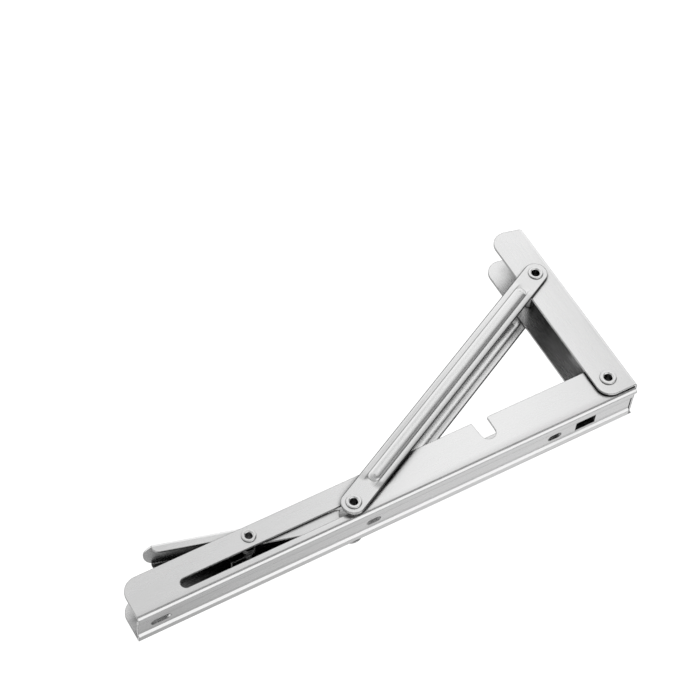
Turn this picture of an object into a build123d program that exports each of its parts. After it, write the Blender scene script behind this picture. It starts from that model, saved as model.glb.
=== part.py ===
from build123d import *
import math
import os

os.makedirs("parts", exist_ok=True)

# Folding shelf bracket of stainless steel, opened as in use. Millimetres.
# X points away from the wall, Y across the bracket, Z up. The origin lies on the wall face at hinge height.
# The shelf arm swings down about the hinge into the wall leg, and both braces swing with it:
# their lower ends are tied by a cross pin that slides along a slot in each side of the arm.

# Clearances
SIDE_GAP = 0.3  # between flat faces that pass each other
PIN_FIT = 0.05  # radial, a rivet in its holes
SLOT_GAP = 0.25  # between the cross pin and each edge of its slot
PATH_GAP = 0.5  # round a pin that swings or slides past an edge

# Wall leg, a U channel that is open away from the wall
WALL_SHEET = 1.8
WALL_BEND = 1.4  # inside radius of its folds
WALL_DEPTH = 28.4
WALL_TOP = 14.0  # its top end above the hinge
WALL_BOTTOM = 143.0  # its web's bottom end below the hinge
WALL_TOP_ROUND = 11.0
WALL_BOTTOM_ROUND = 11.2
WALL_BOTTOM_SLANT = 3.6  # how far the sides run on below the web
WALL_SLOT_WIDTH = 7.0
WALL_SLOT_LENGTH = 14.0
WALL_SLOT_LOW = 127.0  # crosswise slot, below the hinge
WALL_SLOT_HIGH = 50.0  # upright slot, below the hinge

# Shelf arm, a U channel that is open below, with a groove along its web
ARM_SHEET = 1.8
ARM_BEND = 1.4
ARM_LENGTH = 400.0
ARM_WIDTH = 32.0
ARM_DEPTH = 31.0
ARM_TAIL = 14.5  # from the hinge to the arm's wall end
ARM_RISE = 17.75  # top of the web above the hinge
ARM_NOSE_ROUND = 12.0
ARM_WEB_SETBACK = 2.5  # how far the web stops short of the wall end
GROOVE_FLOOR = 14.0
GROOVE_DEEP = 1.8
GROOVE_SLOPE = 45.0  # of its flanks, in degrees
SCREW_SLOT_WIDTH = 6.0
SCREW_SLOTS = [(53.0, 11.0), (203.0, 11.0), (368.0, 15.0)]  # distance from the hinge, length
WINDOW_PLACE = 26.5  # rectangular window in the web, from the hinge
WINDOW_LENGTH = 16.5
WINDOW_WIDTH = 9.0

# Hinge
HINGE_OUT = 16.7  # from the wall face
HINGE_PIN = 8.0
HINGE_BORE = 6.0
HINGE_HEAD = 12.0
HINGE_WASHER = 13.0
HINGE_ROOM = 1.1  # between the arm's side and the wall leg's, for a washer
WALL_WIDTH = ARM_WIDTH + 2 * (HINGE_ROOM + WALL_SHEET)

# Braces, flat strips with a pressed bead
BRACE_SHEET = 2.0
BRACE_WIDTH = 18.0
BRACE_DROP = 101.9  # upper pivot below the hinge
BRACE_BACK = 1.9  # upper pivot nearer to the wall than the hinge
BRACE_PIN = 8.0
BRACE_BORE = 6.0
BRACE_HEAD = 10.8
BEAD_WIDTH = 9.0
BEAD_HIGH = 2.2
BEAD_FROM_TOP = 18.0  # bead's end to the upper pivot
BEAD_FROM_FOOT = 21.5  # bead's end to the cross pin
NOTCH_ROOM = 2.6  # how much wider the notch for the upper rivet is than its path needs
NOTCH_MOUTH = 1.2  # how much it widens towards the arm's edge
NOTCH_CORNER = 1.5

# Cross pin that slides in the arm
SLIDE_PIN = 7.6
SLIDE_BORE = 5.6
SLIDE_HEAD = 11.0
SLIDE_OPEN = 215.4  # from the hinge when the arm stands out
SLOT_RISE = 6.6  # slot's centre line above the hinge
SPACER_OUTER = 15.0

# Release lever, a small U channel between the arm's sides, and its torsion spring
LEVER_SHEET = 1.5
LEVER_BEND = 1.0
LEVER_PLACE = 290.5  # its rivet from the hinge
LEVER_DROP = 5.6  # its rivet below the hinge
LEVER_PIN = 6.6
LEVER_BORE = 5.0
LEVER_HEAD = 10.0
LEVER_SIDE_GAP = 1.0  # to the arm's sides
LEVER_ANGLE = 15.3  # it stands off the arm by this much
LEVER_BACK = 9.3  # from its rivet to the outside of its web
LEVER_REACH = 66.0  # its sides beyond the rivet
LEVER_TONGUE = 5.6  # its web's rounded end, as wide as its flat part, beyond its sides
LEVER_CATCH = 58.0  # its catch before the rivet
LEVER_GRIP_DEPTH = 7.0  # depth of its sides along the thumb grip
LEVER_EAR_DEPTH = 15.2  # depth of its sides from the rivet to the catch
LEVER_EAR = 8.0  # the deep part goes this far beyond the rivet
LEVER_EAR_SLOPE = 8.0  # length over which its edge drops to the grip
LEVER_CORNER = 5.0
CATCH_SCOOP = 8.0  # radius of the scoop in the web's front edge
SPRING_WIRE = 1.2
SPRING_TURNS = 3
SPRING_PITCH = 1.5
SPRING_ROOM = 0.5  # between the rivet and the coil
SPRING_ARM_LEG = 15.0
SPRING_LEVER_LEG = 24.0

# Heads of the tubular rivets
HEAD_THICK = 1.2
HEAD_FLARE = 0.7

# Values that follow
hinge = (HINGE_OUT, 0.0)
arm_edge = ARM_RISE - ARM_DEPTH
arm_side = ARM_WIDTH / 2
arm_inside = arm_side - ARM_SHEET
wall_side = WALL_WIDTH / 2
wall_inside = wall_side - WALL_SHEET
brace_inside = wall_side + SIDE_GAP
brace_outside = brace_inside + BRACE_SHEET
brace_pivot = (HINGE_OUT - BRACE_BACK, -BRACE_DROP)
slide_open = (HINGE_OUT + SLIDE_OPEN, SLOT_RISE)
brace_run = SLIDE_OPEN + BRACE_BACK
brace_rise = SLOT_RISE + BRACE_DROP
brace_length = math.hypot(brace_run, brace_rise)
brace_slope = math.degrees(math.atan2(brace_rise, brace_run))
slide_folded = BRACE_DROP + math.sqrt(brace_length**2 - (SLOT_RISE + BRACE_BACK) ** 2)
lever_pivot = (HINGE_OUT + LEVER_PLACE, -LEVER_DROP)
lever_side = arm_inside - LEVER_SIDE_GAP
lever_inside = lever_side - LEVER_SHEET


def channel(width, depth, sheet, bend):
    """Section of a folded U channel: web along the top edge at y = 0, sides reaching down to -depth."""
    outer = Rectangle(width, depth, align=(Align.CENTER, Align.MAX))
    outer = fillet(outer.vertices().group_by(Axis.Y)[-1], bend + sheet)
    inner = Pos(0, -sheet) * Rectangle(width - 2 * sheet, depth, align=(Align.CENTER, Align.MAX))
    inner = fillet(inner.vertices().group_by(Axis.Y)[-1], bend)
    return outer - inner


def across(outline, half):
    """Solid of a side-view outline (X, Z), reaching half to each side of the middle plane."""
    return extrude(Plane.XZ * outline, amount=half, both=True)


def side_hole(place, diameter):
    """Cutter for a hole right across the bracket at a place in side view."""
    return across(Pos(*place) * Circle(diameter / 2), WALL_WIDTH)


def rivet_half(shank, bore, head, start, face):
    """Half of a tubular rivet along +Y: a tube from start, with a flared head outside face."""
    end = face + HEAD_THICK
    curl = HEAD_THICK / 2
    profile = Polygon(
        (bore / 2, start),
        (shank / 2, start),
        (shank / 2, face),
        (head / 2, face),
        (head / 2, end),
        (bore / 2 + HEAD_FLARE, end),
        (bore / 2, end - HEAD_FLARE),
        align=None,
    )
    rim = profile.vertices().sort_by(Axis.X)[-2:].sort_by(Axis.Y)[-1]
    return revolve(fillet(rim, curl), axis=Axis.Y)


def tube_rivet(place, shank, bore, head, grip):
    """Tubular rivet across the bracket, with a flared head on each face of the grip."""
    half = rivet_half(shank, bore, head, 0, grip / 2)
    return Pos(place[0], 0, place[1]) * (half + mirror(half, about=Plane.XZ))


def washer(place, outer, bore, near, far):
    """Flat ring across the bracket between two distances from the middle plane."""
    ring = Circle(outer / 2) - Circle(bore / 2)
    return extrude(Plane.XZ.offset(near) * (Pos(*place) * ring), amount=far - near)


def both_sides(name, solid):
    """Writes a piece that lies on the -Y side, and its mirror image on the +Y side."""
    export_step(solid, f"parts/{name}_left.step")
    export_step(mirror(solid, about=Plane.XZ), f"parts/{name}_right.step")


def make_wall_leg():
    section = Rot(0, 0, 90) * channel(WALL_WIDTH, WALL_DEPTH, WALL_SHEET, WALL_BEND)
    bottom = WALL_BOTTOM + WALL_BOTTOM_SLANT
    leg = extrude(Plane.XY.offset(-bottom) * section, amount=bottom + WALL_TOP)
    slant_end = WALL_DEPTH - WALL_BOTTOM_ROUND - WALL_SHEET
    outline = Polygon(
        (0, WALL_TOP),
        (0, -WALL_BOTTOM),
        (slant_end, -bottom),
        (WALL_DEPTH, -bottom),
        (WALL_DEPTH, WALL_TOP),
        align=None,
    )
    corners = outline.vertices().sort_by(Axis.X)[-2:].sort_by(Axis.Y)
    outline = fillet(corners[0], WALL_BOTTOM_ROUND)
    top_corner = outline.vertices().sort_by(Axis.X)[-2:].sort_by(Axis.Y)[-1]
    outline = fillet(top_corner, WALL_TOP_ROUND)
    leg &= across(outline, wall_side)
    leg -= side_hole(hinge, HINGE_PIN + 2 * PIN_FIT)
    leg -= side_hole(brace_pivot, BRACE_PIN + 2 * PIN_FIT)
    slot = SlotOverall(WALL_SLOT_LENGTH, WALL_SLOT_WIDTH)
    for drop, turn in ((WALL_SLOT_LOW, 0), (WALL_SLOT_HIGH, 90)):
        opening = Plane.YZ * (Pos(0, -drop) * Rot(0, 0, turn) * slot)
        leg -= extrude(opening, amount=2 * WALL_SHEET, both=True)
    return leg


def groove(lip):
    """Section of the arm's groove with sloping flanks, lip being half its width at the top."""
    floor = lip - GROOVE_DEEP / math.tan(math.radians(GROOVE_SLOPE))
    return Polygon((-lip, 0), (-floor, -GROOVE_DEEP), (floor, -GROOVE_DEEP), (lip, 0), align=None)


def make_shelf_arm():
    section = channel(ARM_WIDTH, ARM_DEPTH, ARM_SHEET, ARM_BEND)
    lip = GROOVE_FLOOR / 2 + GROOVE_DEEP / math.tan(math.radians(GROOVE_SLOPE))
    shoulder = ARM_SHEET * math.tan(math.radians(GROOVE_SLOPE / 2))
    section += Pos(0, -ARM_SHEET) * groove(lip + shoulder)
    section -= groove(lip)
    wall_end = HINGE_OUT - ARM_TAIL
    arm = extrude(Plane.YZ.offset(wall_end) * (Pos(0, ARM_RISE) * section), amount=ARM_LENGTH)

    # Side view: the wall end is round about the hinge, the free end has one large corner below
    outline = Pos(wall_end, ARM_RISE) * Rectangle(ARM_LENGTH, ARM_DEPTH, align=(Align.MIN, Align.MAX))
    nose = outline.vertices().sort_by(Axis.X)[-2:].sort_by(Axis.Y)[0]
    outline = fillet(nose, ARM_NOSE_ROUND)
    heel = Pos(wall_end, arm_edge) * Rectangle(ARM_TAIL, -arm_edge, align=(Align.MIN, Align.MIN))
    outline -= heel - Pos(*hinge) * Circle(ARM_TAIL)
    arm &= across(outline, arm_side)
    web_inside = arm_inside - ARM_BEND
    arm -= Pos(wall_end, 0, ARM_RISE) * Box(
        2 * ARM_WEB_SETBACK, 2 * web_inside, 4 * (ARM_SHEET + GROOVE_DEEP)
    )

    # Slots for the cross pin, and notches that drop over the upper rivet as the arm folds
    slot_near = slide_open[0]
    slot_far = HINGE_OUT + slide_folded
    slot = SlotCenterToCenter(slot_far - slot_near, SLIDE_PIN + 2 * SLOT_GAP)
    arm -= across(Pos((slot_near + slot_far) / 2, SLOT_RISE) * slot, ARM_WIDTH)
    arm -= across(notch(), ARM_WIDTH)
    arm -= side_hole(hinge, HINGE_PIN + 2 * PIN_FIT)
    arm -= side_hole(lever_pivot, LEVER_PIN + 2 * PIN_FIT)

    # Screw slots and window in the groove's floor
    for place, length in SCREW_SLOTS:
        slot = SlotOverall(length, SCREW_SLOT_WIDTH)
        arm -= Pos(HINGE_OUT + place, 0, ARM_RISE) * extrude(slot, amount=3 * ARM_SHEET, both=True)
    window = Rectangle(WINDOW_LENGTH, WINDOW_WIDTH)
    arm -= Pos(HINGE_OUT + WINDOW_PLACE, 0, ARM_RISE) * extrude(window, amount=3 * ARM_SHEET, both=True)

    # Hole in one side that holds the spring's end
    end = spring_anchor()
    hole = Cylinder(SPRING_WIRE / 2 + PIN_FIT, 2 * ARM_SHEET, rotation=(90, 0, 0))
    arm -= Pos(end[0], arm_side, end[1]) * hole
    return arm


def notch():
    """Side view of the notch: its round end takes the upper rivet, its mouth crosses the arm's edge."""
    front = HINGE_OUT + BRACE_DROP + BRACE_PIN / 2 + PATH_GAP
    back = front - BRACE_PIN - 2 * PATH_GAP - NOTCH_ROOM
    radius = (front - back) / 2
    seat = Pos((front + back) / 2, -BRACE_BACK) * Circle(radius)
    mouth = Polygon(
        (front, -BRACE_BACK),
        (back, -BRACE_BACK),
        (back, arm_edge),
        (front + NOTCH_MOUTH, arm_edge),
        align=None,
    )
    corner = Pos(back, arm_edge) * Rectangle(NOTCH_CORNER, NOTCH_CORNER, align=(Align.MAX, Align.MIN))
    corner -= Pos(back - NOTCH_CORNER, arm_edge + NOTCH_CORNER) * Circle(NOTCH_CORNER)
    return seat + mouth + corner


def spring_anchor():
    """Side-view place where the spring's end enters the arm's side: above the lever, below the slot."""
    return (lever_pivot[0] + SPRING_ARM_LEG, lever_pivot[1] + spring_radius())


def spring_radius():
    """Radius of the coil's centre line."""
    return LEVER_PIN / 2 + SPRING_ROOM + SPRING_WIRE / 2


def make_brace():
    """Brace on the -Y side, drawn flat along +X from its upper pivot, bead up, then stood in place."""
    strip = Pos(brace_length / 2, 0) * SlotCenterToCenter(brace_length, BRACE_WIDTH)
    brace = extrude(strip, amount=BRACE_SHEET)
    brace += bead(BEAD_WIDTH, BEAD_HIGH, BRACE_SHEET)
    brace -= bead(BEAD_WIDTH - BRACE_SHEET, BEAD_HIGH, 0)
    for place, pin in ((0, BRACE_PIN), (brace_length, SLIDE_PIN)):
        brace -= Pos(place, 0, 0) * Cylinder(pin / 2 + PIN_FIT, 4 * BRACE_SHEET)
    upright = Plane(
        origin=(brace_pivot[0], -brace_inside, brace_pivot[1]),
        x_dir=(math.cos(math.radians(brace_slope)), 0, math.sin(math.radians(brace_slope))),
        z_dir=(0, -1, 0),
    )
    return upright * brace


def bead(width, high, base):
    """Long round ridge along the brace: an arc section with a matching round at each end."""
    radius = (width**2 / 4 + high**2) / (2 * high)
    start = BEAD_FROM_TOP + width / 2
    stop = brace_length - BEAD_FROM_FOOT - width / 2
    circle = Pos(0, base + high - radius) * Circle(radius)
    keep = Pos(0, base) * Rectangle(width, 2 * high, align=(Align.CENTER, Align.MIN))
    ridge = extrude(Plane.YZ.offset(start) * (circle & keep), amount=stop - start)
    ball = Sphere(radius) & Pos(0, 0, radius - high) * Box(
        2 * width, 2 * width, 2 * high, align=(Align.CENTER, Align.CENTER, Align.MIN)
    )
    for place in (start, stop):
        ridge += Pos(place, 0, base + high - radius) * ball
    return ridge


def make_lever():
    """Lever drawn along the arm with its rivet at the origin, then turned out by its resting angle."""
    reach = LEVER_REACH + LEVER_TONGUE
    section = channel(2 * lever_side, LEVER_EAR_DEPTH, LEVER_SHEET, LEVER_BEND)
    blank = extrude(Plane.YZ.offset(-LEVER_CATCH) * (Rot(0, 0, 180) * section), amount=LEVER_CATCH + reach)
    lever = Pos(0, 0, -LEVER_BACK) * blank
    ear = LEVER_EAR_DEPTH - LEVER_BACK
    grip = LEVER_GRIP_DEPTH - LEVER_BACK
    outline = Polygon(
        (-LEVER_CATCH, -LEVER_BACK),
        (LEVER_REACH, -LEVER_BACK),
        (LEVER_REACH, grip),
        (LEVER_EAR + LEVER_EAR_SLOPE, grip),
        (LEVER_EAR, ear),
        (-LEVER_CATCH, ear),
        align=None,
    )
    thumb_corner = outline.vertices().sort_by(Axis.X)[-2:].sort_by(Axis.Y)[-1]
    outline = fillet(thumb_corner, LEVER_CORNER)
    ear_corners = outline.vertices().filter_by(lambda corner: 0 < corner.X <= LEVER_EAR + LEVER_EAR_SLOPE)
    outline = fillet(ear_corners, LEVER_CORNER)
    outline += Pos(-LEVER_CATCH, -LEVER_BACK) * Rectangle(
        LEVER_CATCH + reach, LEVER_SHEET, align=(Align.MIN, Align.MIN)
    )
    lever &= across(outline, lever_side)
    flat = lever_inside - LEVER_BEND
    tongue_radius = (flat**2 + LEVER_TONGUE**2) / (2 * LEVER_TONGUE)
    plan = Pos(reach - tongue_radius, 0) * Circle(tongue_radius)
    plan += Pos(-LEVER_CATCH, 0) * Rectangle(
        LEVER_CATCH + LEVER_REACH, 2 * lever_side, align=(Align.MIN, Align.CENTER)
    )
    plan -= Pos(-LEVER_CATCH, 0) * Circle(CATCH_SCOOP)
    lever &= extrude(plan, amount=LEVER_EAR_DEPTH, both=True)
    lever -= across(Circle(LEVER_PIN / 2 + PIN_FIT), ARM_WIDTH)
    lever = Pos(lever_pivot[0], 0, lever_pivot[1]) * Rot(0, LEVER_ANGLE, 0) * lever

    # The catch is cut back along the cross pin's path, so that the pin can slide over it
    path_low = SLOT_RISE - SLIDE_PIN / 2 - PATH_GAP
    path = Box(SLIDE_OPEN, ARM_WIDTH, ARM_DEPTH, align=(Align.MAX, Align.CENTER, Align.MIN))
    lever -= Pos(lever_pivot[0], 0, path_low) * path
    return lever


def rod(start, end, diameter):
    """Round rod between two points."""
    run = end - start
    return extrude(Plane(origin=start, z_dir=run) * Circle(diameter / 2), amount=run.length)


def wire_arc(start, heading, centre, angle):
    """Bent wire from a point, setting off along its heading and turning about a centre."""
    section = Plane(origin=start, z_dir=heading) * Circle(SPRING_WIRE / 2)
    turn_axis = Axis(centre, (start - centre).cross(heading))
    return revolve(section, axis=turn_axis, revolution_arc=angle)


def make_spring():
    """Torsion spring round the lever's rivet: one leg holds in the arm's side, one presses on the lever.

    Each half turn of its coil is a flat arc from the bottom to the top or back, leaning by half a pitch.
    """
    radius = spring_radius()
    web_gap = LEVER_BACK - LEVER_SHEET - SPRING_WIRE / 2 - PIN_FIT - radius
    lean = LEVER_ANGLE + math.degrees(math.asin(web_gap / SPRING_LEVER_LEG))
    middle = Vector(lever_pivot[0], -SPRING_TURNS * SPRING_PITCH / 2, lever_pivot[1])
    down = Vector(0, 0, -radius).rotate(Axis.Y, lean)
    out = Vector(1, 0, 0).rotate(Axis.Y, lean)
    first = middle + down
    spring = rod(first, first + out * SPRING_LEVER_LEG, SPRING_WIRE)
    spring += wire_arc(first, -out, middle, 180 - lean)

    point = middle + Vector(0, 0, radius)
    heading = Vector(1, 0, 0)
    for half_turn in range(2 * SPRING_TURNS):
        level = middle + Vector(0, (half_turn + 1) * SPRING_PITCH / 2, 0)
        following = level - Vector(0, 0, point.Z - middle.Z)
        spring += wire_arc(point, heading, (point + following) / 2, 180)
        point = following
        heading = -heading

    anchor = spring_anchor()
    corner = Vector(anchor[0], point.Y, anchor[1])
    tip = Vector(anchor[0], arm_side - PIN_FIT, anchor[1])
    spring += rod(point, corner, SPRING_WIRE)
    spring += rod(corner, tip, SPRING_WIRE)
    spring += Pos(corner) * Sphere(SPRING_WIRE / 2)
    return spring


def make_cross_pin():
    """Tube that slides in the arm's slots and reaches almost to the braces."""
    reach = brace_inside - SIDE_GAP
    ring = Circle(SLIDE_PIN / 2) - Circle(SLIDE_BORE / 2)
    return across(Pos(*slide_open) * ring, reach)


def make_cross_pin_end():
    """Flared end of the cross pin in the -Y brace's lower hole."""
    half = rivet_half(SLIDE_PIN, SLIDE_BORE, SLIDE_HEAD, brace_inside, brace_outside)
    return Pos(slide_open[0], 0, slide_open[1]) * mirror(half, about=Plane.XZ)


export_step(make_wall_leg(), "parts/wall_leg.step")
export_step(make_shelf_arm(), "parts/shelf_arm.step")
both_sides("brace", make_brace())
export_step(make_cross_pin(), "parts/slide_pin.step")
both_sides("slide_rivet", make_cross_pin_end())
export_step(make_lever(), "parts/release_lever.step")
export_step(make_spring(), "parts/lever_spring.step")

spacer_bore = SLIDE_PIN + 2 * PIN_FIT
washer_bore = HINGE_PIN + 2 * PIN_FIT
gap_start = arm_side + SIDE_GAP
both_sides("slide_spacer", washer(slide_open, SPACER_OUTER, spacer_bore, gap_start, brace_inside - SIDE_GAP))
both_sides("hinge_washer", washer(hinge, HINGE_WASHER, washer_bore, gap_start, wall_inside))

rivets = {
    "hinge_rivet": (hinge, HINGE_PIN, HINGE_BORE, HINGE_HEAD, 2 * wall_side),
    "brace_rivet": (brace_pivot, BRACE_PIN, BRACE_BORE, BRACE_HEAD, 2 * brace_outside),
    "lever_rivet": (lever_pivot, LEVER_PIN, LEVER_BORE, LEVER_HEAD, 2 * arm_side),
}
for name, sizes in rivets.items():
    export_step(tube_rivet(*sizes), f"parts/{name}.step")
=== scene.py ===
import math

import bmesh
import bpy
from mathutils import Matrix, Vector


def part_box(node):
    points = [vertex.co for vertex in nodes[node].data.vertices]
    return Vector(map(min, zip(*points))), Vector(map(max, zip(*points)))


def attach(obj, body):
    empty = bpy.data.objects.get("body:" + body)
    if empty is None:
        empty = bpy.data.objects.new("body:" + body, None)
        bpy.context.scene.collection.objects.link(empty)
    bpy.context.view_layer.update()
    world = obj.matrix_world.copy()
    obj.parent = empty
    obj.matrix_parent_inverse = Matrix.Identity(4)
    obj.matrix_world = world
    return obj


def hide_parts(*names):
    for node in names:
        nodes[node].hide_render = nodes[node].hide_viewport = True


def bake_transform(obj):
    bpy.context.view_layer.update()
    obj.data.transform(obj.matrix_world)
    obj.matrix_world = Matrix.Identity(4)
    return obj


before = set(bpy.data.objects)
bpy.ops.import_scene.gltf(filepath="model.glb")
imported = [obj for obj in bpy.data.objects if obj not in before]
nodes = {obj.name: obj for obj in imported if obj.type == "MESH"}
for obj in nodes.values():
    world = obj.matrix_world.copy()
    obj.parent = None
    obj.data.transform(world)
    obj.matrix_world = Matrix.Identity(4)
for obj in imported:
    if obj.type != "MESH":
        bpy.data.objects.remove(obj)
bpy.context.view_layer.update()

MM = 0.001

# Shapes, in mm
LEVER_SHEET = 1.5      # thickness of the lever's sheet
BRACE_WIDTH = 18.0
BEAD_WIDTH = 9.0
BEAD_FROM_TOP = 18.0   # from the braces' rivet in the wall leg to the bead's end
BEAD_FROM_FOOT = 21.5  # from the cross pin to the bead's other end
END_ROUND = 4.0        # a bead's relief fades over this distance to either side of its ends

# Reliefs, in mm
BEAD_RISE = 1.15       # at a bead's foot, which flattens its arc
STRIP_FALL = 0.5       # at a brace's long edges
BRUSH_HEIGHT = 0.003
BRUSH_SHOWN = 0.2      # share of the brushing's height that shows

# Steel's finish and painted shade. Spans say which part of a measure counts.
STREAK = (0.05, 0.0005, 0.0005)  # size of the brushing's streaks along each axis, in m
CLOUD = (0.05, 0.02, 0.02)       # size of the faint clouds
NOISE_SPAN = (0.3, 0.7)          # most of a noise's range
STREAK_SPAN = (0.25, 0.75)       # nearly all of it, for the streaks' brightness
CLOUD_SHADE = (0.97, 1.02)
STREAK_SHADE = (0.975, 1.02)
CLOUD_ROUGHNESS = 0.04
STREAK_ROUGHNESS = 0.02
PAINTED_SHADE_SPAN = (0.5, 0.8)           # openness, from shut in to open, for painted shade in hollows
EDGE_LINE = 1.0                  # distance in mm within which an edge darkens the surface, as painted shade
EDGE_SPAN = (0.86, 0.995)        # cosine of the turn from the surface to its rounded form
CONTACT_LINE = 1.5               # distance in mm within which another piece darkens the surface, as painted shade
CONTACT_SPAN = (0.4, 0.9)        # openness, from touching to clear
CONTACT_SHADE = 0.3
EDGE_SAMPLES = 6
ROOM_SAMPLES = 8

# Painted shade lines on a brace: where they fade, as distances in mm, and how dark they are
CREASE_SPAN = (0.2, 0.7)         # from the bead's foot
CREASE_DARK = 0.45
BRACE_EDGE_SPAN = (0.2, 0.8)     # from the long edge
BRACE_EDGE_DARK = 0.75

# Painted shade on the arm's inside, with painted light near its web past its heel
WEB_SPAN = (0.0, 6.0 * MM)            # height above the hinge, from painted shade to painted light
HEEL_SPAN = (60.0 * MM, 75.0 * MM)    # distance from the wall, from painted shade to painted light
ARM_PAINTED_SHADE = 0.08
ARM_WEB_PAINTED_LIGHT = 0.95

# Brightness patterns, built up row by row. A row gives a value that goes from its third number at its first
# place to its last number at its second place, and holds beyond both. MULTIPLY takes that value as a factor
# on the level so far, and MAXIMUM as the least level. Places are in m on the floor, and parts of a direction
# in the dome.
FLOOR_PATTERN = [
    ("MULTIPLY", "X", -0.48, -0.26, 0.70, 1.08),   # brightest in front of the wall's side
    ("MULTIPLY", "X", -0.22, -0.02, 1.0, 0.57),    # dim in front of the arm's side
    ("MULTIPLY", "Y", -0.92, -0.62, 1.0, 0.72),    # dimmer nearer to the bracket
    ("MULTIPLY", "Y", -2.6, -1.05, 0.4, 1.0),      # fades far in front
    ("MULTIPLY", "X", 0.25, 0.6, 1.0, 0.85),       # dimmer past the arm's end
    ("MAXIMUM", "Y", -0.60, -0.42, 0.0, 0.84),     # bright and even below the bracket
    ("MULTIPLY", "Y", 0.10, 0.40, 1.0, 0.30),      # dark behind it
    ("MAXIMUM", "Y", 0.74, 0.92, 0.0, 0.55),       # lighter again further back
    ("MULTIPLY", "Y", 1.3, 2.2, 1.0, 0.5),         # fades far behind
]
GLOW_PATTERN = [
    ("MULTIPLY", "X", -0.37, -0.14, 0.54, 0.18),   # stronger on the wall's side
    ("MULTIPLY", "Y", 0.1, 0.5, 0.0, 1.0),         # only behind
    ("MULTIPLY", "Z", 0.05, 0.35, 0.0, 1.0),       # only above the floor
]
WALLS_PATTERN = [("MULTIPLY", "X", -0.2, 0.4, 0.15, 0.45)]

# Studio
FLOOR_SIZE = 12.0
FLOOR_MIDDLE = (0.2, 0.0, -0.43)
FLOOR_PAINT = 0.6
GLOW_CUT = 0.24        # taken off the floor's pattern, since the lit paint adds to it
FLOOR_SHOWN = 0.79     # glow that makes the lit floor white to the camera
LAMP_TOWARDS = Vector((-0.30, -0.50, 0.81)).normalized()
LAMP_SPAN = (0.74, 0.92)  # cosine of the angle to the lamp's middle, from its rim inwards
LAMP_LEVEL = 0.85

# Camera: angles in degrees, target and distance in m
CAMERA_AZIMUTH = 21.65
CAMERA_ELEVATION = 27.775
CAMERA_ROLL = 146.13
CAMERA_TARGET = Vector((0.1634, 0.0, -0.1167))
CAMERA_DISTANCE = 1.6276
CAMERA_LENS = 114.54
CAMERA_SENSOR = 36.0


class Shader:
    """A material's or world's node tree, with short ways to add nodes and join them."""

    def __init__(self, tree):
        self.tree = tree
        self.tree.nodes.clear()

    def add(self, kind, settings=None, values=(), **named):
        """Adds a node. Values go to its sockets in order, and named ones by name, with _ for a space."""
        node = self.tree.nodes.new(kind)
        for name, value in (settings or {}).items():
            setattr(node, name, value)
        for socket, value in zip(node.inputs, values):
            self.put(socket, value)
        for name, value in named.items():
            self.put(node.inputs[name.replace("_", " ")], value)
        return node

    def put(self, socket, value):
        """Joins another node's output to a socket, or gives the socket a value."""
        if isinstance(value, bpy.types.NodeSocket):
            self.tree.links.new(value, socket)
        else:
            socket.default_value = value

    def math(self, operation, *values):
        return self.add("ShaderNodeMath", {"operation": operation}, values).outputs[0]

    def remap(self, value, low, high, to_low, to_high, smooth=True):
        """A value's stretch from low to high, moved to another stretch and held at its ends."""
        settings = {"interpolation_type": "SMOOTHSTEP" if smooth else "LINEAR"}
        node = self.add("ShaderNodeMapRange", settings, (value, low, high, to_low, to_high))
        return node.outputs["Result"]

    def pattern(self, parts, rows):
        """Brightness built up from a pattern's rows."""
        level = 1.0
        for operation, axis, *numbers in rows:
            level = self.math(operation, level, self.remap(parts[axis], *numbers))
        return level

    def noise(self, place, size, turn, roughness=0.5):
        """Noise of a size in m along each axis, turned about the bracket's width."""
        mapping = self.add(
            "ShaderNodeMapping",
            {"vector_type": "TEXTURE"},
            Vector=place,
            Rotation=(0.0, turn, 0.0),
            Scale=size,
        )
        grains = self.add(
            "ShaderNodeTexNoise",
            Vector=mapping.outputs[0],
            Scale=1.0,
            Detail=3.0,
            Roughness=roughness,
        )
        return grains.outputs[0]

    def rounded(self, radius):
        """The surface's direction, as if its edges were rounded by a radius in mm."""
        return self.add("ShaderNodeBevel", {"samples": EDGE_SAMPLES}, Radius=radius * MM).outputs[0]

    def bump(self, height, share, distance, normal):
        """A direction tilted by a height. One unit of height is a distance in mm."""
        node = self.add(
            "ShaderNodeBump",
            Strength=share,
            Distance=distance * MM,
            Height=height,
            Normal=normal,
        )
        return node.outputs[0]

    def openness(self, reach):
        """1 where nothing stands within a reach in mm, and less the more a point is shut in."""
        node = self.add("ShaderNodeAmbientOcclusion", {"samples": ROOM_SAMPLES}, Distance=reach * MM)
        return node.outputs["AO"]

    def normal(self):
        return self.add("ShaderNodeNewGeometry").outputs["Normal"]

    def dot(self, vector, other):
        node = self.add("ShaderNodeVectorMath", {"operation": "DOT_PRODUCT"}, (vector, other))
        return node.outputs["Value"]

    def parts(self, vector):
        return self.add("ShaderNodeSeparateXYZ", Vector=vector).outputs

    def grey(self, value):
        return self.add("ShaderNodeCombineColor", values=(value, value, value)).outputs[0]


def middle(name):
    """Middle of a CAD node's box."""
    low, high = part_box(name)
    return (low + high) / 2


def brace_ends():
    """Centres of the braces' pivots: the rivet in the wall leg, and the cross pin in the arm."""
    return middle("brace_rivet"), middle("slide_pin")


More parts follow.
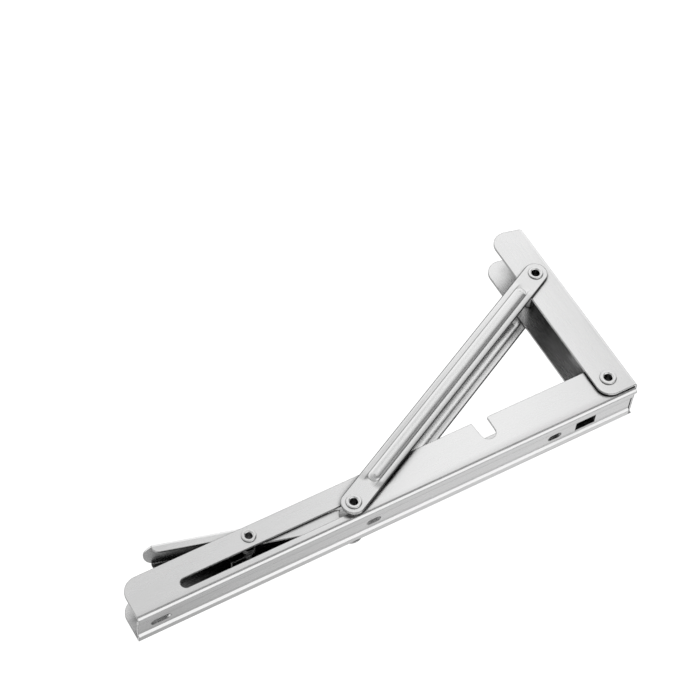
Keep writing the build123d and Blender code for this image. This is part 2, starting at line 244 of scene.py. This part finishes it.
def steel(
    name,
    bright=0.94,
    painted_shut_in_level=0.10,
    rough=0.25,
    turn=0.0,
    soften=0.6,
    depth=30.0,
    edge=0.5,
    relief=None,
    painted_lines=None,
):
    """Stainless steel: bright outside, with painted shade where it is shut in, along edges and where pieces
    touch.

    Bright is a level of brightness, and the level painted where the steel is shut in is another. That one
    may be a function, where what is shut in isn't painted the same all over. Rough is the roughness, which
    streaks and clouds vary a little. The brushing runs along X, turned about the bracket's width. Soften is
    the radius in mm that edges look to have, and depth the distance in mm within which other surfaces shut a
    point in and darken it with painted shade. Edge is the factor of painted shade on the brightness at a
    sharp edge. Relief is a function for the height in mm of a form too shallow for the sheet's own shape,
    and the last argument one for another factor of painted shade on the brightness.
    """
    material = bpy.data.materials.new(name)
    material.use_nodes = True
    s = Shader(material.node_tree)
    place = s.add("ShaderNodeTexCoord").outputs["Object"]
    streaks = s.noise(place, STREAK, turn, roughness=0.6)
    clouds = s.noise(place, CLOUD, turn)

    direction = s.bump(streaks, BRUSH_SHOWN, BRUSH_HEIGHT, s.rounded(soften))
    if relief:
        direction = s.bump(relief(s, place), 1.0, 1.0, direction)

    # Painted shade where the steel is shut in.
    painted_shut_in = painted_shut_in_level(s, place) if callable(painted_shut_in_level) else painted_shut_in_level
    shaded_brightness = s.remap(s.openness(depth), *PAINTED_SHADE_SPAN, painted_shut_in, bright)
    flatness = s.dot(s.normal(), s.rounded(EDGE_LINE))
    # Painted shade at edges and where pieces touch, then the streaks' and clouds' own tone.
    factors = [
        s.remap(flatness, *EDGE_SPAN, edge, 1.0),
        s.remap(s.openness(CONTACT_LINE), *CONTACT_SPAN, CONTACT_SHADE, 1.0),
        s.remap(clouds, *NOISE_SPAN, *CLOUD_SHADE),
        s.remap(streaks, *STREAK_SPAN, *STREAK_SHADE),
    ]
    if painted_lines:
        factors.append(painted_lines(s, place))
    for factor in factors:
        shaded_brightness = s.math("MULTIPLY", shaded_brightness, factor)

    streaked = s.remap(streaks, *NOISE_SPAN, -STREAK_ROUGHNESS, STREAK_ROUGHNESS)
    clouded = s.remap(clouds, *NOISE_SPAN, rough, rough + CLOUD_ROUGHNESS)
    metal = s.add(
        "ShaderNodeBsdfPrincipled",
        Base_Color=s.grey(shaded_brightness),
        Metallic=1.0,
        Roughness=s.math("ADD", streaked, clouded),
        Normal=direction,
    )
    s.add("ShaderNodeOutputMaterial", Surface=metal.outputs[0])
    return material


def along_brace(s, place):
    """Distance in mm from a brace's centre line, and a level: 1 along its bead and 0 past its ends."""
    top, pin = brace_ends()
    along = (pin - top).normalized() / MM
    across = Vector((-along.z, 0.0, along.x))
    length = (pin - top).length / MM
    offset = s.math("ABSOLUTE", s.math("SUBTRACT", s.dot(place, across), top.dot(across)))
    reach = s.math("SUBTRACT", s.dot(place, along), top.dot(along))
    bead_end = length - BEAD_FROM_FOOT
    start = s.remap(reach, BEAD_FROM_TOP - END_ROUND, BEAD_FROM_TOP + END_ROUND, 0.0, 1.0)
    stop = s.remap(reach, bead_end - END_ROUND, bead_end + END_ROUND, 1.0, 0.0)
    return offset, s.math("MULTIPLY", start, stop)


def brace_form(s, place):
    """Flattens a brace's bead a little, and lets the strips beside it fall off to their edges."""
    offset, within = along_brace(s, place)
    bead = s.remap(offset, 0.0, BEAD_WIDTH / 2, 0.0, 1.0, smooth=False)
    strip = s.remap(offset, BEAD_WIDTH / 2, BRACE_WIDTH / 2, 0.0, 1.0, smooth=False)
    bead = s.math("MULTIPLY", s.math("POWER", bead, 2.0), BEAD_RISE)
    strip = s.math("MULTIPLY", s.math("POWER", strip, 2.0), -STRIP_FALL)
    height = s.math("MULTIPLY", s.math("ADD", bead, strip), within)
    # What stands out on a brace's outer face goes in on its inner face.
    outwards = s.math("MULTIPLY", s.parts(s.normal())["Y"], s.math("SIGN", s.parts(place)["Y"]))
    return s.math("MULTIPLY", height, outwards)


def brace_painted_lines(s, place):
    """Painted shade on a brace, in the crease at its bead's foot and along its long edges."""
    offset, within = along_brace(s, place)
    from_foot = s.math("ABSOLUTE", s.math("SUBTRACT", offset, BEAD_WIDTH / 2))
    from_edge = s.math("SUBTRACT", BRACE_WIDTH / 2, offset)
    crease = s.math("MULTIPLY", s.remap(from_foot, *CREASE_SPAN, CREASE_DARK, 0.0), within)
    edge = s.remap(from_edge, *BRACE_EDGE_SPAN, BRACE_EDGE_DARK, 0.0)
    return s.math("SUBTRACT", 1.0, s.math("MAXIMUM", crease, edge))


def fall(axis, start, stop, height):
    """A relief that sinks by a height from start to stop along an axis, ever faster. All three are in mm."""

    def relief(s, place):
        share = s.remap(s.parts(place)[axis], start * MM, stop * MM, 0.0, 1.0, smooth=False)
        return s.math("MULTIPLY", s.math("POWER", share, 2.0), -height)

    return relief


def arm_painted_shade_and_light(s, place):
    """Painted shade on the arm's inside, with painted light near its web past the heel, so that the screw
    slots look pale.
    """
    parts = s.parts(place)
    near_web = s.remap(parts["Z"], *WEB_SPAN, 0.0, 1.0)
    past_heel = s.remap(parts["X"], *HEEL_SPAN, 0.0, 1.0)
    return s.remap(s.math("MULTIPLY", near_web, past_heel), 0.0, 1.0, ARM_PAINTED_SHADE, ARM_WEB_PAINTED_LIGHT)


def dress():
    """Gives every CAD node its finish, with its painted shade."""
    top, pin = brace_ends()
    slope = math.atan2(pin.z - top.z, pin.x - top.x)
    brace = steel(
        "brace_sheet",
        bright=0.92,
        turn=-slope,
        soften=1.4,
        edge=0.25,
        relief=brace_form,
        painted_lines=brace_painted_lines,
    )
    wall = steel(
        "wall_sheet",
        painted_shut_in_level=0.31,
        turn=math.pi / 2,
        depth=36.0,
        edge=0.25,
        relief=fall("X", 28.0, 0.0, 0.8),
    )
    arm = steel(
        "arm_sheet",
        painted_shut_in_level=arm_painted_shade_and_light,
        depth=35.0,
        edge=0.4,
        relief=fall("Z", 9.0, 15.0, 0.25),
    )
    finishes = {
        "wall_leg": wall,
        "shelf_arm": arm,
        "release_lever": steel("lever_sheet", depth=45.0),
        "brace_left": brace,
        "brace_right": brace,
        "lever_spring": steel("spring_wire", bright=0.62, rough=0.28, depth=20.0),
    }
    rivet = steel("rivet", bright=0.92, painted_shut_in_level=0.5, rough=0.2, soften=0.7, depth=12.0, edge=0.25)
    for name, node in nodes.items():
        for slot in node.material_slots:
            slot.material = finishes.get(name, rivet)


def make_catch():
    """The lever's catch: two cheeks that rise over the cross pin's path.

    They hook the pin when the arm is open. Points are in mm from the pin's centre, along the arm and up.
    """
    pin = middle("slide_pin")
    lever_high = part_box("release_lever")[1]
    foot = (lever_high.z - pin.z) / MM
    ramp = [(68.6, foot), (62.5, -2.7), (43.3, 2.6)]
    crown = [(33.0, 4.4), (22.0, 5.0), (11.7, 5.1)]
    nose = [(11.8, 1.1), (8.7, -2.7), (12.0, foot)]
    outline = ramp + crown + nose
    finish = steel("catch_sheet", painted_shut_in_level=0.8, soften=0.4)
    for side, name in ((-1, "lever_catch_left"), (1, "lever_catch_right")):
        outside = side * lever_high.y
        inside = outside - side * LEVER_SHEET * MM
        shape = bmesh.new()
        rings = []
        for y in (outside, inside):
            ring = [shape.verts.new((pin.x + x * MM, y, pin.z + z * MM)) for x, z in outline]
            shape.faces.new(ring)
            rings.append(ring)
        outer, inner = rings
        for i in range(len(outline)):
            shape.faces.new((outer[i - 1], outer[i], inner[i], inner[i - 1]))
        bmesh.ops.recalc_face_normals(shape, faces=shape.faces)
        mesh = bpy.data.meshes.new(name)
        shape.to_mesh(mesh)
        shape.free()
        mesh.materials.append(finish)
        piece = bpy.data.objects.new(name, mesh)
        bpy.context.scene.collection.objects.link(piece)
        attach(piece, "lever")


def make_spring():
    """The lever's torsion spring, as a copy of the CAD node's mesh that takes the node's place.
    """
    node = nodes["lever_spring"]
    piece = bpy.data.objects.new("wound_spring", node.data.copy())
    bpy.context.scene.collection.objects.link(piece)
    for slot, dressed in zip(piece.material_slots, node.material_slots):
        slot.material = dressed.material
    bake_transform(piece)
    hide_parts("lever_spring")


def make_floor():
    """Plain floor far below the bracket: white to the camera, and glowing in broad bands to the metal.

    From below it isn't there, so that it doesn't hide the bracket.
    """
    bpy.ops.mesh.primitive_plane_add(size=FLOOR_SIZE, location=FLOOR_MIDDLE)
    floor = bpy.context.object
    floor.name = "floor"
    material = bpy.data.materials.new("floor")
    material.use_nodes = True
    s = Shader(material.node_tree)
    geometry = s.add("ShaderNodeNewGeometry").outputs
    bands = s.pattern(s.parts(geometry["Position"]), FLOOR_PATTERN)
    seen = s.math("SUBTRACT", bands, GLOW_CUT)
    to_camera = s.add("ShaderNodeLightPath").outputs["Is Camera Ray"]
    level = s.remap(to_camera, 0.0, 1.0, seen, FLOOR_SHOWN, smooth=False)
    glow = s.add("ShaderNodeEmission", Color=(1.0, 1.0, 1.0, 1.0), Strength=level)
    paint = s.add("ShaderNodeBsdfDiffuse", Color=(FLOOR_PAINT, FLOOR_PAINT, FLOOR_PAINT, 1.0))
    both = s.add("ShaderNodeAddShader", values=(paint.outputs[0], glow.outputs[0]))
    clear = s.add("ShaderNodeBsdfTransparent")
    sides = (geometry["Backfacing"], both.outputs[0], clear.outputs[0])
    shown = s.add("ShaderNodeMixShader", values=sides)
    s.add("ShaderNodeOutputMaterial", Surface=shown.outputs[0])
    floor.data.materials.append(material)


def make_world():
    """Studio dome: a large soft lamp up in front, a glow behind to the wall's side, and dim walls.

    To the camera it is white.
    """
    world = bpy.data.worlds.new("studio")
    bpy.context.scene.world = world
    world.use_nodes = True
    s = Shader(world.node_tree)
    direction = s.add("ShaderNodeTexCoord").outputs["Generated"]
    parts = s.parts(direction)
    lamp = s.remap(s.dot(direction, LAMP_TOWARDS), *LAMP_SPAN, 0.0, LAMP_LEVEL)
    glow = s.pattern(parts, GLOW_PATTERN)
    walls = s.pattern(parts, WALLS_PATTERN)
    seen = s.math("ADD", s.math("ADD", lamp, glow), walls)
    to_camera = s.add("ShaderNodeLightPath").outputs["Is Camera Ray"]
    level = s.math("MAXIMUM", seen, to_camera)
    sky = s.add("ShaderNodeBackground", Color=(1.0, 1.0, 1.0, 1.0), Strength=level)
    s.add("ShaderNodeOutputWorld", Surface=sky.outputs[0])


def look_at(azimuth, elevation, roll, target, distance):
    """Camera matrix at that azimuth and elevation round a target, turned about its own line of sight."""
    turn = math.radians(azimuth)
    rise = math.radians(elevation)
    back = Vector((math.sin(turn) * math.cos(rise), -math.cos(turn) * math.cos(rise), math.sin(rise)))
    right = Vector((math.cos(turn), math.sin(turn), 0.0))
    up = back.cross(right)
    view = Matrix((right, up, back)).transposed() @ Matrix.Rotation(math.radians(roll), 3, "Z")
    return Matrix.Translation(target + back * distance) @ view.to_4x4()


def make_camera():
    """Camera with a long lens, rolled until the bracket lies with its arm below and its wall leg up."""
    camera = bpy.data.objects.new("camera", bpy.data.cameras.new("camera"))
    bpy.context.scene.collection.objects.link(camera)
    camera.matrix_world = look_at(
        CAMERA_AZIMUTH,
        CAMERA_ELEVATION,
        CAMERA_ROLL,
        CAMERA_TARGET,
        CAMERA_DISTANCE,
    )
    camera.data.lens = CAMERA_LENS
    camera.data.sensor_width = CAMERA_SENSOR
    bpy.context.scene.camera = camera


dress()
make_catch()
make_spring()
make_floor()
make_world()
make_camera()
bpy.context.scene.view_settings.view_transform = "Standard"
